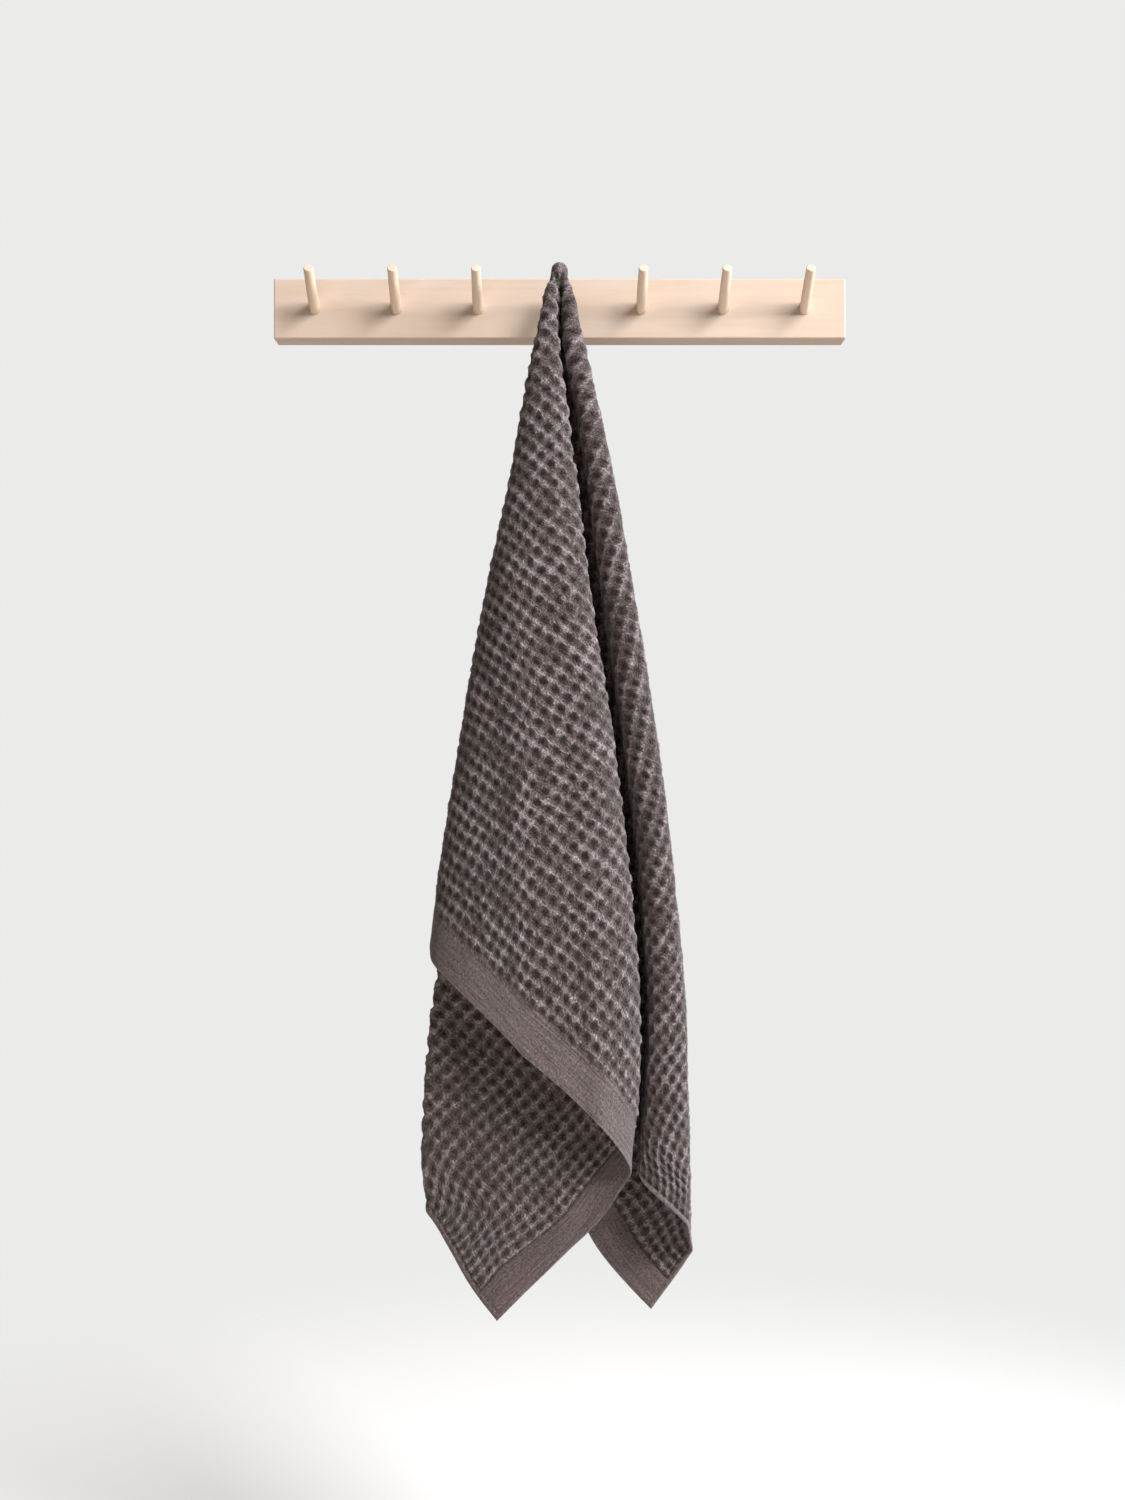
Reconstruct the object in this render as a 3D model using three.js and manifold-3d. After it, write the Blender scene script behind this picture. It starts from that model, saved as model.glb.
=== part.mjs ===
// A waffle-weave towel hung by the middle of one long edge over the tip of a peg, on a wooden peg rail.
// Millimetres. X runs to the right along the rail, Y into the wall, Z up.
// The origin is the centre of the rail's back face, where the rail meets the wall.
import * as THREE from 'three';
import Module from 'manifold-3d';
import { mergeVertices } from 'three/addons/utils/BufferGeometryUtils.js';

const wasm = await Module();
wasm.setup();

// Rail and pegs
const RAIL_LENGTH = 700;
const RAIL_HEIGHT = 73;
const RAIL_THICKNESS = 36;
const RAIL_EDGE = 1.5;
const PEG_COUNT = 7;
const PEG_PITCH = RAIL_LENGTH / PEG_COUNT;
const PEG_TILT = 34;
const PEG_REACH = 62;
const PEG_SEAT_DEPTH = 26;
const PEG_SEAT_RADIUS = 6.5;
const PEG_TIP_RADIUS = 5.8;
const PEG_TIP_EDGE = 0.6;
const PEG_COLLAR = 4;
const SEAT_GAP = 0.3;
const ROUND_SIDES = 24;

// Cloth as cut: the long edge that hangs on the peg, the width below it, and the thickness
const CLOTH_LENGTH = 1600;
const CLOTH_WIDTH = 1000;
const CLOTH_THICKNESS = 2.5;

// The hood: the cloth right over the peg's tip, a small dome open towards the rail
const HOOD_TOP = { x: 0, y: -84, z: 41 };
const HOOD = { arc: 13, drop: 8, halfWidth: 8.8, halfDepth: 9.5, halfTurn: 104, blend: 1.5 };

// The rulings hang slightly shorter than they lie flat, because the cloth is slack across its waves,
// and no ruling is flatter than this square of the sine of its slope
const HANG_RATIO = 0.987;
const STEEPEST_RULING = 0.25;

// Folds in their order round the bundle, with the angle at the peg between the long edge and each fold.
// F1 to F4 show from the front, H1 and H2 are the pleats inside, K1 and K2 those at the back, and
// flap is the middle of the front flap.
const FOLDS = [
  { name: 'F1', angle: 20 },
  { name: 'flap', angle: 32.9 },
  { name: 'F2', angle: 43.4 },
  { name: 'F3', angle: 60 },
  { name: 'H1', angle: 76 },
  { name: 'H2', angle: 91 },
  { name: 'F4', angle: 123.3 },
  { name: 'K1', angle: 142 },
  { name: 'K2', angle: 159 },
];

// Level sections of the bundle. r is the distance from the peg's tip in the flat cloth.
// F1 to K2 are the folds' places in X, gap is the left wall of the right lobe, front and back bound
// the bundle in Y, twist turns the cloth round the peg in degrees, and bunch is 1 where the layers
// are squeezed evenly together and 0 where they hang free.
const LEVEL_COLUMNS = [
  'r', 'F1', 'F2', 'F3', 'H1', 'H2', 'gap', 'F4', 'K1', 'K2', 'front', 'back', 'twist', 'bunch',
];
const LEVELS = [
  [45, -16, -4, -11, 0, -8, 5, 16, 6, 14, -107, -69, 2, 1.0],
  [90, -24, -4, -17, -1, -14, 5, 24, 2, 18, -113, -60, 0, 0.95],
  [160, -38, 4, -26, 1, -22, 17, 39, -2, 31, -121, -54, -4, 0.8],
  [250, -54, 16, -36, 9, -34, 32, 58, -4, 46, -130, -49, -5, 0.6],
  [400, -84, 34, -64, 27, -62, 52, 84, -30, 70, -142, -42, -3, 0.35],
  [600, -118, 64, -98, 56, -94, 79, 115, -80, 98, -152, -35, 0, 0.1],
  [800, -148, 86, -130, 78, -128, 100, 139, -118, 121, -157, -30, 0, 0],
  [900, -160, 93, -148, 84, -138, 106, 147, -126, 126, -157, -30, 0, 0],
  [1000, -168, 92, -158, 82, -142, 104, 150, -128, 128, -156, -32, 0, 0],
  [1110, -174, 84, -162, 72, -138, 93, 153, -112, 128, -152, -36, 0, 0],
  [1155, -176, 88, -158, 68, -135, 89, 153, -100, 128, -150, -39, 0, 0],
  [1200, -178, 78, -184, 64, -132, 86, 157, -114, 126, -146, -42, 0, 0],
  [1245, -180, 75, -218, 60, -129, 83, 179, -132, 125, -143, -45, 0, 0],
  [1290, -180, 74, -242, 58, -126, 80, 199, -138, 124, -140, -48, 0, 0],
];

// Depth of each layer as a share from front (0) to back (1), where it hangs free and where it is bunched
const LAYER_DEPTHS = {
  back: [1.03, 1.0],
  layer2: [0.42, 0.22],
  layer3: [0.54, 0.33],
  layer4: [0.62, 0.44],
  layer5: [0.7, 0.55],
  lobe: [0.26, 0.12],
  layer6: [0.78, 0.66],
  layer7: [0.86, 0.78],
  layer8: [0.94, 0.89],
};

// Corners of the curve through a level section. Shares across are of the layer they name, shares in
// depth run from front (0) to back (1), and pairs are for cloth that hangs free and that is bunched.
const LAP = { past: 1.35, middle: 0.5, near: 0.16, heel: 0.92, flank: 0.66, brow: 0.42 };
const FLAP = { shoulder: 0.03, crest: 0.24, plain: 0.7, roll: 0.08 };
const FLAP_DEPTHS = {
  shoulder: [0.1, 0.15],
  crest: [-0.02, 0],
  plain: [0, 0],
  roll: [0.1, 0.04],
  edge: [0.24, 0.1],
};
const UNDER = { turn: 1.5, lift: 0.04, middle: 0.5, rise: 0.02 };
const LOBE = { heel: 0.1, wallRise: 0.05, brow: 0.04, browSink: 0.06, crest: 0.38, crestRise: 0.02, side: 0.88 };
const LOBE_EDGE = { sink: [0.09, 0.07], lift: 0.1, turn: 0.12 };
const TAIL = { middle: 0.45, past: 0.1 };

// A pleat runs straight before it turns, for this share of the bundle's depth or of the layer beside it
const PLEAT_RUN = { ofDepth: 0.13, ofLayer: 0.3 };

// Mesh density of the cloth
const ARC_STEPS = 16;
const COLUMN_LENGTH = 75;
const COLUMN_TURN = 0.62;
const COLUMN_LEVEL = 600;
const NEAR_ROWS = [5, 9, 13, 18, 24, 32, 45, 62, 85];
const FAR_ROWS = 15;
const COLUMN_SAMPLES = 240;

// Steps for the cloth's normal: along the ruling in mm, and round the bundle in degrees
const NORMAL_STEP = { along: 1.5, alongShare: 0.2, round: 90, least: 0.08, most: 2 };

const COLOURS = { birch: 0xe8d2b6, linen: 0x6a5f5c };

const radians = (degrees) => (degrees * Math.PI) / 180;
const mix = (a, b, share) => a * (1 - share) + b * share;
const clamp = (value, low, high) => Math.min(Math.max(value, low), high);

// One level's values, read between the rows of LEVELS on a smooth curve
function levelAt(r) {
  const rows = LEVELS;
  const at = clamp(r, rows[0][0], rows[rows.length - 1][0]);
  let i = 0;
  while (i < rows.length - 2 && at > rows[i + 1][0]) i += 1;
  const step = (k) => rows[k + 1][0] - rows[k][0];
  const slope = (k, c) => (rows[k + 1][c] - rows[k][c]) / step(k);
  const tangent = (k, c) => {
    if (k === 0) return slope(0, c);
    if (k === rows.length - 1) return slope(k - 1, c);
    return (slope(k, c) * step(k - 1) + slope(k - 1, c) * step(k)) / (step(k) + step(k - 1));
  };
  const h = step(i);
  const t = (at - rows[i][0]) / h;
  const level = {};
  LEVEL_COLUMNS.forEach((name, c) => {
    const a = (2 * t ** 3 - 3 * t ** 2 + 1) * rows[i][c];
    const b = (t ** 3 - 2 * t ** 2 + t) * h * tangent(i, c);
    const d = (3 * t ** 2 - 2 * t ** 3) * rows[i + 1][c];
    const e = (t ** 3 - t ** 2) * h * tangent(i + 1, c);
    level[name] = a + b + d + e;
  });
  return level;
}

// Control points of one level section, seen from above, from the left end of the cloth's long edge
// round the bundle to its right end. Each mark is a fold, halfway between two control points.
function sectionControls(r) {
  const c = levelAt(r);
  const depth = {};
  Object.entries(LAYER_DEPTHS).forEach(([name, [free, bunched]]) => {
    depth[name] = mix(free, bunched, c.bunch);
  });
  const points = [];
  const marks = {};
  const byBunch = ([free, bunched]) => mix(free, bunched, c.bunch);
  const add = (x, share) => points.push([x, mix(c.front, c.back, share)]);
  const mark = (name) => {
    marks[name] = points.length;
  };
  const run = (c.back - c.front) * PLEAT_RUN.ofDepth;
  const runBeside = (layer) => Math.min(run, PLEAT_RUN.ofLayer * Math.abs(layer));
  const turn = (name, side, from, shareIn, shareOut, to) => {
    add(c[name] - runBeside(from - c[name]) * side, shareIn);
    add(c[name], shareIn);
    mark(name);
    add(c[name], shareOut);
    add(c[name] - runBeside(to - c[name]) * side, shareOut);
  };
  const flap = c.F2 - c.F1;
  const lobe = c.F4 - c.gap;
  const whole = c.F4 - c.F1;

  // Back layer from its free end to the left fold, which wraps round all the others
  add(c.F1 + LAP.past * whole, depth.back);
  add(c.F1 + LAP.middle * whole, depth.back);
  add(c.F1 + LAP.near * flap, depth.back);
  add(c.F1, LAP.heel);
  add(c.F1, LAP.flank);
  add(c.F1, LAP.brow);
  mark('F1');

  // Front flap and its right fold
  add(c.F1 + FLAP.shoulder * flap, byBunch(FLAP_DEPTHS.shoulder));
  add(c.F1 + FLAP.crest * flap, byBunch(FLAP_DEPTHS.crest));
  mark('flap');
  add(c.F1 + FLAP.plain * flap, byBunch(FLAP_DEPTHS.plain));
  add(c.F2 - FLAP.roll * flap, byBunch(FLAP_DEPTHS.roll));
  add(c.F2, byBunch(FLAP_DEPTHS.edge));
  mark('F2');
  add(c.F2, depth.layer2 - UNDER.lift);
  add(c.F2 - UNDER.turn * runBeside(c.F2 - c.F3), depth.layer2);
  add(mix(c.F2, c.F3, UNDER.middle), depth.layer2 - UNDER.rise * (1 - c.bunch));

  // Pleats inside
  turn('F3', -1, c.F2, depth.layer2, depth.layer3, c.H1);
  turn('H1', 1, c.F3, depth.layer3, depth.layer4, c.H2);
  turn('H2', -1, c.H1, depth.layer4, depth.layer5, c.F4);

  // Right lobe, which comes forward beside the front flap
  add(c.gap - LOBE.heel * lobe, depth.layer5);
  add(c.gap, depth.layer5 - LOBE.wallRise);
  add(c.gap, 0.5 * (depth.layer5 + depth.lobe));
  add(c.gap + LOBE.brow * lobe, depth.lobe + LOBE.browSink);
  add(c.gap + LOBE.crest * lobe, depth.lobe - LOBE.crestRise);
  add(c.gap + LOBE.side * lobe, depth.lobe + LOBE.crestRise);
  add(c.F4, depth.lobe + byBunch(LOBE_EDGE.sink));
  mark('F4');
  add(c.F4, depth.layer6 - LOBE_EDGE.lift);
  add(c.F4 - LOBE_EDGE.turn * lobe, depth.layer6);

  // Pleats at the back, to the free end
  turn('K1', -1, c.F4, depth.layer6, depth.layer7, c.K2);
  turn('K2', 1, c.K1, depth.layer7, depth.layer8, c.F1);
  add(c.F1 + TAIL.middle * whole, depth.layer8);
  add(c.F1 - TAIL.past * whole, depth.layer8);
  return { points, marks };
}

// The section as a smooth curve: points, arc length at each point, and arc length at each fold
function sectionCurve(r) {
  const { points, marks } = sectionControls(r);
  const middle = (i) => [(points[i][0] + points[i + 1][0]) / 2, (points[i][1] + points[i + 1][1]) / 2];
  const curve = [middle(0)];
  for (let i = 1; i < points.length - 1; i += 1) {
    const start = middle(i - 1);
    const end = middle(i);
    for (let k = 1; k <= ARC_STEPS; k += 1) {
      const t = k / ARC_STEPS;
      const at = (axis) => (1 - t) ** 2 * start[axis] + 2 * t * (1 - t) * points[i][axis] + t ** 2 * end[axis];
      curve.push([at(0), at(1)]);
    }
  }
  const arcs = [0];
  for (let i = 1; i < curve.length; i += 1) {
    arcs.push(arcs[i - 1] + Math.hypot(curve[i][0] - curve[i - 1][0], curve[i][1] - curve[i - 1][1]));
  }
  const foldArcs = FOLDS.map((fold) => arcs[(marks[fold.name] - 1) * ARC_STEPS]);
  return { curve, arcs, foldArcs };
}

const sectionStore = new Map();
function storedSection(r) {
  const key = Math.round(r * 1000);
  if (!sectionStore.has(key)) sectionStore.set(key, sectionCurve(r));
  return sectionStore.get(key);
}

// Arc length along a section at one hang angle. Past the outer folds it is the cloth's own length.
function arcAtAngle(section, r, angle) {
  const last = FOLDS.length - 1;
  if (angle <= FOLDS[0].angle) return section.foldArcs[0] - radians(FOLDS[0].angle - angle) * r;
  if (angle >= FOLDS[last].angle) return section.foldArcs[last] + radians(angle - FOLDS[last].angle) * r;
  let i = 0;
  while (angle > FOLDS[i + 1].angle) i += 1;
  const share = (angle - FOLDS[i].angle) / (FOLDS[i + 1].angle - FOLDS[i].angle);
  return mix(section.foldArcs[i], section.foldArcs[i + 1], share);
}

// Where the section passes one hang angle, seen from above
function sectionPoint(r, angle) {
  const section = storedSection(r);
  const { curve, arcs } = section;
  const arc = clamp(arcAtAngle(section, r, angle), 0, arcs[arcs.length - 1]);
  let low = 0;
  let high = arcs.length - 1;
  while (high - low > 1) {
    const half = (low + high) >> 1;
    if (arcs[half] > arc) high = half;
    else low = half;
  }
  const share = (arc - arcs[low]) / (arcs[high] - arcs[low]);
  return [mix(curve[low][0], curve[high][0], share), mix(curve[low][1], curve[high][1], share)];
}

// Middle of the cloth's thickness at distance r from the peg's tip and at one hang angle
function clothPoint(r, angle) {
  const first = LEVELS[0][0];
  const level = levelAt(r);
  const turnShare = (angle - level.twist) / 180;
  const round = radians(HOOD.halfTurn * (2 * turnShare - 1));
  const dome = Math.min(r / HOOD.arc, 1) * (Math.PI / 2);
  let x = HOOD_TOP.x + HOOD.halfWidth * Math.sin(dome) * Math.sin(round);
  let y = HOOD_TOP.y - HOOD.halfDepth * Math.sin(dome) * Math.cos(round);
  if (r > HOOD.arc) {
    const share = clamp((r - HOOD.arc) / (first - HOOD.arc), 0, 1) ** HOOD.blend;
    const [sx, sy] = sectionPoint(Math.max(r, first), angle);
    x = mix(x, sx, share);
    y = mix(y, sy, share);
  }
  if (r <= HOOD.arc) return new THREE.Vector3(x, y, HOOD_TOP.z - HOOD.drop * (1 - Math.cos(dome)));
  const outwards = Math.max(0, Math.hypot(x - HOOD_TOP.x, y - HOOD_TOP.y) - HOOD.halfWidth);
  const along = HANG_RATIO * (r - HOOD.arc);
  const drop = HOOD.drop + Math.sqrt(Math.max(along ** 2 - outwards ** 2, STEEPEST_RULING * along ** 2));
  return new THREE.Vector3(x, y, HOOD_TOP.z - drop);
}

// Direction that the cloth's outer face points in
function clothNormal(r, angle) {
  const dr = Math.min(NORMAL_STEP.along, r * NORMAL_STEP.alongShare);
  const da = clamp(NORMAL_STEP.round / r, NORMAL_STEP.least, NORMAL_STEP.most);
  const alongR = clothPoint(r + dr, angle).sub(clothPoint(r - dr, angle));
  const round = clothPoint(r, angle + da).sub(clothPoint(r, angle - da));
  return alongR.cross(round).normalize();
}

// Distance from the peg's tip to the cut edge, at one angle to the long edge
function edgeDistance(angle) {
  const a = radians(clamp(angle, 0, 180));
  const toSide = CLOTH_LENGTH / 2 / Math.max(Math.abs(Math.cos(a)), 1e-9);
  const toFarEdge = CLOTH_WIDTH / Math.max(Math.sin(a), 1e-9);
  return Math.min(toSide, toFarEdge);
}

// Mesh columns: each is a layer and a share of it, closer together where the section turns
function clothColumns() {
  const section = storedSection(COLUMN_LEVEL);
  const corner = (Math.atan2(CLOTH_WIDTH, CLOTH_LENGTH / 2) * 180) / Math.PI;
  const bounds = [0, ...FOLDS.map((fold) => fold.angle), 180];
  const columns = [{ layer: 0, share: 0 }];
  for (let layer = 0; layer < bounds.length - 1; layer += 1) {
    const measure = [0];
    let heading = null;
    let previous = null;
    for (let k = 0; k <= COLUMN_SAMPLES; k += 1) {
      const point = sectionPoint(COLUMN_LEVEL, mix(bounds[layer], bounds[layer + 1], k / COLUMN_SAMPLES));
      if (previous) {
        const length = Math.hypot(point[0] - previous[0], point[1] - previous[1]);
        const now = Math.atan2(point[1] - previous[1], point[0] - previous[0]);
        let turned = heading === null ? 0 : Math.abs(now - heading);
        if (turned > Math.PI) turned = 2 * Math.PI - turned;
        measure.push(measure[k - 1] + length / COLUMN_LENGTH + turned / COLUMN_TURN);
        heading = now;
      }
      previous = point;
    }
    const count = Math.max(2, Math.round(measure[COLUMN_SAMPLES]));
    for (let n = 1; n <= count; n += 1) {
      const goal = (measure[COLUMN_SAMPLES] * n) / count;
      let k = 1;
      while (k < COLUMN_SAMPLES && measure[k] < goal) k += 1;
      const inside = (goal - measure[k - 1]) / Math.max(measure[k] - measure[k - 1], 1e-9);
      columns.push({ layer, share: n === count ? 1 : (k - 1 + inside) / COLUMN_SAMPLES });
    }
  }
  // The two low corners of the cloth each lie on a column
  [corner, 180 - corner].forEach((angle) => {
    const layer = bounds.findIndex((bound, i) => angle < bounds[i + 1]);
    const share = (angle - bounds[layer]) / (bounds[layer + 1] - bounds[layer]);
    const inLayer = columns.filter((column) => column.layer === layer && column.share < 1);
    inLayer.sort((a, b) => Math.abs(a.share - share) - Math.abs(b.share - share));
    inLayer[0].share = share;
  });
  return { columns, bounds };
}

// The towel: its two faces on either side of the middle surface, joined round the cut edge
function towelGeometry() {
  const { columns, bounds } = clothColumns();
  const hangAngle = ({ layer, share }, twist) => {
    const from = layer === 0 ? bounds[0] + twist : bounds[layer];
    const to = layer === bounds.length - 2 ? bounds[layer + 1] + twist : bounds[layer + 1];
    return mix(from, to, share);
  };
  const reach = columns.map((column) => edgeDistance(hangAngle(column, 0)));
  const near = NEAR_ROWS.length;
  const rowCount = near + FAR_ROWS;
  const lastNear = NEAR_ROWS[near - 1];
  const positions = [];
  const half = CLOTH_THICKNESS / 2;
  const place = (point, normal, side) => {
    positions.push(point.x + normal.x * half * side, point.y + normal.y * half * side,
      point.z + normal.z * half * side);
  };
  // Vertex 0 and 1 are the two faces at the peg's tip, then rows by columns, both faces of each point
  place(new THREE.Vector3(HOOD_TOP.x, HOOD_TOP.y, HOOD_TOP.z), new THREE.Vector3(0, 0, 1), 1);
  place(new THREE.Vector3(HOOD_TOP.x, HOOD_TOP.y, HOOD_TOP.z), new THREE.Vector3(0, 0, 1), -1);
  for (let row = 0; row < rowCount; row += 1) {
    columns.forEach((column, c) => {
      const far = lastNear + ((reach[c] - lastNear) * (row - near + 1)) / FAR_ROWS;
      const r = row < near ? NEAR_ROWS[row] : far;
      const angle = hangAngle(column, levelAt(r).twist);
      const point = clothPoint(r, angle);
      const normal = clothNormal(r, angle);
      place(point, normal, 1);
      place(point, normal, -1);
    });
  }
  const width = columns.length;
  const index = (row, c, side) => (row < 0 ? side : 2 + 2 * (row * width + c) + side);
  const faces = [];
  const quad = (a, b, c, d) => faces.push(a, b, c, a, c, d);
  for (let c = 0; c < width - 1; c += 1) {
    faces.push(index(-1, 0, 0), index(0, c, 0), index(0, c + 1, 0));
    faces.push(index(-1, 0, 1), index(0, c + 1, 1), index(0, c, 1));
    for (let row = 0; row < rowCount - 1; row += 1) {
      quad(index(row, c, 0), index(row + 1, c, 0), index(row + 1, c + 1, 0), index(row, c + 1, 0));
      quad(index(row, c, 1), index(row, c + 1, 1), index(row + 1, c + 1, 1), index(row + 1, c, 1));
    }
    const end = rowCount - 1;
    quad(index(end, c, 0), index(end, c, 1), index(end, c + 1, 1), index(end, c + 1, 0));
  }
  for (let row = -1; row < rowCount - 1; row += 1) {
    quad(index(row, 0, 0), index(row, 0, 1), index(row + 1, 0, 1), index(row + 1, 0, 0));
    const c = width - 1;
    quad(index(row, c, 0), index(row + 1, c, 0), index(row + 1, c, 1), index(row, c, 1));
  }
  const geometry = new THREE.BufferGeometry();
  geometry.setAttribute('position', new THREE.Float32BufferAttribute(positions, 3));
  geometry.setIndex(faces);
  return geometry;
}

// A closed three.js geometry as a solid for cutting, and back
function toSolid(geometry) {
  const bare = geometry.clone();
  bare.deleteAttribute('normal');
  bare.deleteAttribute('uv');
  const merged = mergeVertices(bare, 1e-4);
  return new wasm.Manifold(new wasm.Mesh({
    numProp: 3,
    vertProperties: new Float32Array(merged.attributes.position.array),
    triVerts: new Uint32Array(merged.index.array),
  }));
}

function toGeometry(solid) {
  const mesh = solid.getMesh();
  const geometry = new THREE.BufferGeometry();
  geometry.setAttribute('position', new THREE.BufferAttribute(new Float32Array(mesh.vertProperties), 3));
  geometry.setIndex(new THREE.BufferAttribute(new Uint32Array(mesh.triVerts), 1));
  return geometry;
}

// A peg's place: its axis leaves the rail's front face at mid height and rises towards the room
function pegMatrix(x) {
  const lean = new THREE.Matrix4().makeRotationX(radians(180 - PEG_TILT));
  return new THREE.Matrix4().makeTranslation(x, -RAIL_THICKNESS, 0).multiply(lean);
}

// Peg and blind hole are turned shapes along their own axis, which stands on Y before it is leaned
function pegGeometry() {
  const profile = [
    [0, -PEG_SEAT_DEPTH],
    [PEG_SEAT_RADIUS, -PEG_SEAT_DEPTH],
    [PEG_SEAT_RADIUS, PEG_COLLAR],
    [PEG_TIP_RADIUS, PEG_REACH - PEG_TIP_EDGE],
    [PEG_TIP_RADIUS - PEG_TIP_EDGE, PEG_REACH],
    [0, PEG_REACH],
  ].map(([radius, along]) => new THREE.Vector2(radius, along));
  return new THREE.LatheGeometry(profile, ROUND_SIDES);
}

function holeGeometry() {
  const radius = PEG_SEAT_RADIUS + SEAT_GAP;
  const low = -PEG_SEAT_DEPTH - SEAT_GAP;
  const high = 2 * PEG_SEAT_RADIUS;
  const profile = [[0, low], [radius, low], [radius, high], [0, high]];
  return new THREE.LatheGeometry(profile.map(([x, y]) => new THREE.Vector2(x, y)), ROUND_SIDES);
}

const pegPlaces = Array.from({ length: PEG_COUNT }, (_, i) => (i - (PEG_COUNT - 1) / 2) * PEG_PITCH);

// The rail: a board with eased edges, and a leaning blind hole for each peg
function railGeometry() {
  const halfLength = RAIL_LENGTH / 2 - RAIL_EDGE;
  const halfHeight = RAIL_HEIGHT / 2 - RAIL_EDGE;
  const outline = new THREE.Shape();
  outline.moveTo(-halfLength, -halfHeight);
  outline.lineTo(halfLength, -halfHeight);
  outline.lineTo(halfLength, halfHeight);
  outline.lineTo(-halfLength, halfHeight);
  outline.closePath();
  const board = new THREE.ExtrudeGeometry(outline, {
    depth: RAIL_THICKNESS - 2 * RAIL_EDGE,
    bevelEnabled: true,
    bevelSize: RAIL_EDGE,
    bevelThickness: RAIL_EDGE,
    bevelSegments: 2,
    steps: 1,
  });
  board.translate(0, 0, RAIL_EDGE);
  board.rotateX(Math.PI / 2);
  let solid = toSolid(board);
  pegPlaces.forEach((x) => {
    solid = solid.subtract(toSolid(holeGeometry().applyMatrix4(pegMatrix(x))));
  });
  return toGeometry(solid);
}

function material(colour) {
  return new THREE.MeshStandardMaterial({ color: colour, roughness: 0.85, metalness: 0 });
}

const object = new THREE.Group();

const rail = new THREE.Mesh(railGeometry(), material(COLOURS.birch));
rail.name = 'rail';
object.add(rail);

pegPlaces.forEach((x, i) => {
  const peg = new THREE.Mesh(pegGeometry(), material(COLOURS.birch));
  peg.name = `peg_${i + 1}`;
  peg.applyMatrix4(pegMatrix(x));
  object.add(peg);
});

const towel = new THREE.Mesh(towelGeometry(), material(COLOURS.linen));
towel.name = 'towel';
object.add(towel);

export default object;
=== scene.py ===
# A waffle-woven linen towel hung by the middle of one long edge over the tip of a peg, on a birch peg rail.
# Metres in Blender. The sizes below are millimetres: X to the right along the rail, Y into the wall, Z up,
# from the centre of the rail's back face.
import math

import bmesh
import bpy
import numpy as np
from mathutils import Matrix, Vector


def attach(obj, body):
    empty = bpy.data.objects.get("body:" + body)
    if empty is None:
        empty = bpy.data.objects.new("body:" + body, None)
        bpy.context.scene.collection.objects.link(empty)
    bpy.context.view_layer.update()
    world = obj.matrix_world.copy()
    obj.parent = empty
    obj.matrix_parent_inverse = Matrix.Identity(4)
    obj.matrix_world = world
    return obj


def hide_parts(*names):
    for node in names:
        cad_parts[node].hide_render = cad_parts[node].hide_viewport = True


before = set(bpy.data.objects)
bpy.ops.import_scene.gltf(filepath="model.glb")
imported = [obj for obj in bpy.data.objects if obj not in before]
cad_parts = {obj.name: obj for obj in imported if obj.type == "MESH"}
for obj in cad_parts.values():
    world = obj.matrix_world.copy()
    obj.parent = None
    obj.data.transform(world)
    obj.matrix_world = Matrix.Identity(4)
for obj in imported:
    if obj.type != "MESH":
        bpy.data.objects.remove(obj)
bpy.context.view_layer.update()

MM = 0.001
rng = np.random.default_rng(41)

# Rail and pegs, mm
RAIL_LENGTH = 700
RAIL_THICKNESS = 36
PEG_COUNT = 7
PEG_PITCH = RAIL_LENGTH / PEG_COUNT
PEG_TILT = 34
PEG_REACH = 62
PEG_SEAT_DEPTH = 26
PEG_SEAT_END = 4
PEG_SEAT_RADIUS = 6.5
PEG_TIP_RADIUS = 5.8
PEG_TIP_ROUND = 1.3
PEG_TIP_STEPS = 5
PEG_SIDES = 48
WELD = 0.01

# Cloth as cut, mm: u runs along the long edge from the peg to the ends, w across the width below it
CLOTH_LENGTH = 1600
CLOTH_WIDTH = 1000

# The hood over the peg's tip, and how much shorter the rulings hang than they lie flat
HOOD_TOP = (0, -84, 41)
HOOD_ARC = 13
HOOD_DROP = 8
HOOD_HALF_WIDTH = 8.8
HOOD_HALF_DEPTH = 9.5
HOOD_HALF_TURN = 104
HOOD_BLEND = 1.5
HANG_RATIO = 0.987
STEEPEST_RULING = 0.25

# Folds in their order round the bundle, with the angle at the peg between the long edge and each fold;
# flap is the middle of the front flap
FOLDS = {
    "F1": 20, "flap": 32.9, "F2": 43.4, "F3": 60, "H1": 76, "H2": 91, "F4": 123.3, "K1": 142, "K2": 159,
}

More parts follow.
